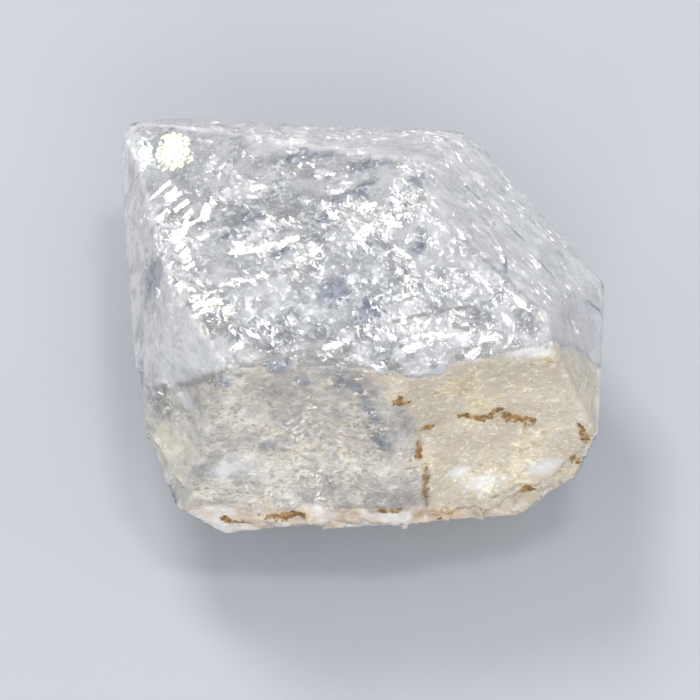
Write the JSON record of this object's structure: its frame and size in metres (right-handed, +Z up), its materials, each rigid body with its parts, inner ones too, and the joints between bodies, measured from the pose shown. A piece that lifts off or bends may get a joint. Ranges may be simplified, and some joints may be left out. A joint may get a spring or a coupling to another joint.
{
  "type": "elestial quartz crystal",
  "caption": "Stubby elestial quartz crystal lying on a prism face, with a whole point, stacked growth plates, etch pits, veils and broken, clay-stained front faces.",
  "frame": {"origin": "middle of the flat resting face's level, under the middle of the crystal's bounding box", "axes": "+X right along the longest extent, +Y to the back, +Z up from the resting face; the c-axis lies level and points to the front right"},
  "size_m": [0.0328, 0.0286, 0.02],
  "materials": {
    "quartz": "satin"
  },
  "bodies": {
    "root": {"quartz_crystal": "quartz"}
  },
  "joints": []
}
